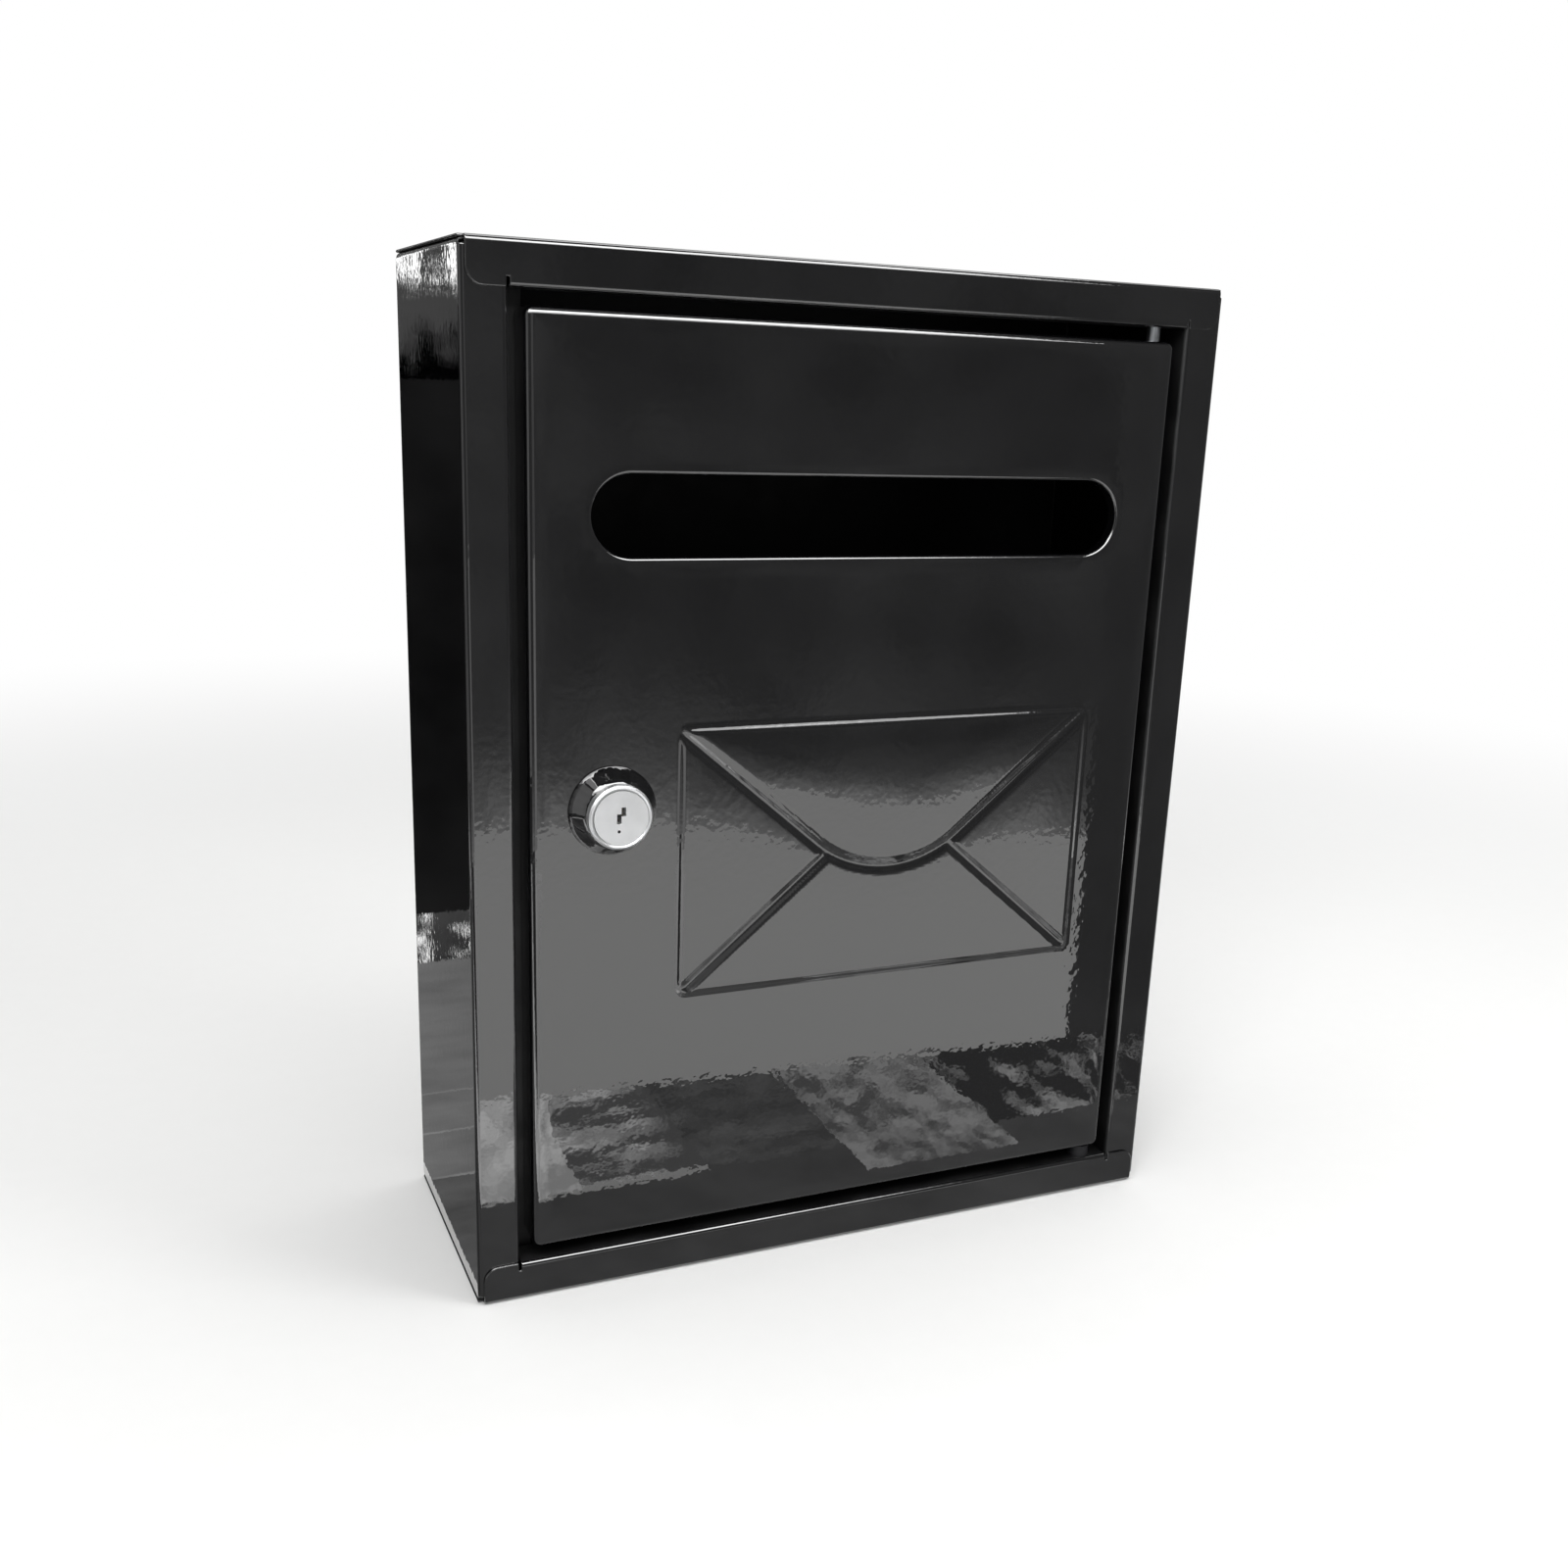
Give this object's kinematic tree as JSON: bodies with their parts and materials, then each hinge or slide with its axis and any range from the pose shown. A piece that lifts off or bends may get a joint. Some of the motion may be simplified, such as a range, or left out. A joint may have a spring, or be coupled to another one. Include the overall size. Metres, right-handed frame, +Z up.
{
  "type": "wall mounted post box",
  "caption": "Shallow sheet-metal letter box for a wall, with a posting slot and a raised envelope in its hinged front door and a cam lock at the free edge.",
  "frame": {"origin": "centre of the back face, which lies against the wall", "axes": "+X to the right seen from the front, +Y into the wall, +Z up"},
  "size_m": [0.233, 0.0958, 0.3],
  "materials": {
    "black_enamel": "high-gloss black baked enamel on pressed steel",
    "chrome": "bright chrome plate",
    "zinc_plate": "bright zinc plate on steel",
    "black_collar": "gloss black enamel on a turned ring",
    "nylon": "moulded black nylon",
    "brass": "stamped brass"
  },
  "bodies": {
    "box": {"wrap_panel": "black_enamel", "top_panel": "black_enamel", "bottom_panel": "black_enamel", "upper_hinge_pin": "zinc_plate", "lower_hinge_pin": "zinc_plate", "hinge_spacer": "nylon", "upper_pin_clip": "zinc_plate", "lower_pin_clip": "zinc_plate"},
    "door": {"door_panel": "black_enamel", "lock_housing": "chrome", "lock_collar": "black_collar", "lock_washer": "zinc_plate", "lock_nut": "zinc_plate"},
    "cam": {"lock_plug": "chrome", "stop_washer": "zinc_plate", "lock_cam": "zinc_plate", "cam_spring_washer": "zinc_plate", "cam_screw": "zinc_plate", "wafer_1": "brass", "wafer_2": "brass", "wafer_3": "brass", "wafer_4": "brass"}
  },
  "joints": [
    {"name": "door_swing", "type": "hinge", "parent": "box", "child": "door", "pos_m": [0.095, -0.0818, 0], "axis": [0, 0, 1], "range_deg": [0, 120]},
    {"name": "lock_turn", "type": "hinge", "parent": "door", "child": "cam", "pos_m": [-0.0765, -0.0868, 0], "axis": [0, 1, 0], "range_deg": [0, 90]}
  ]
}
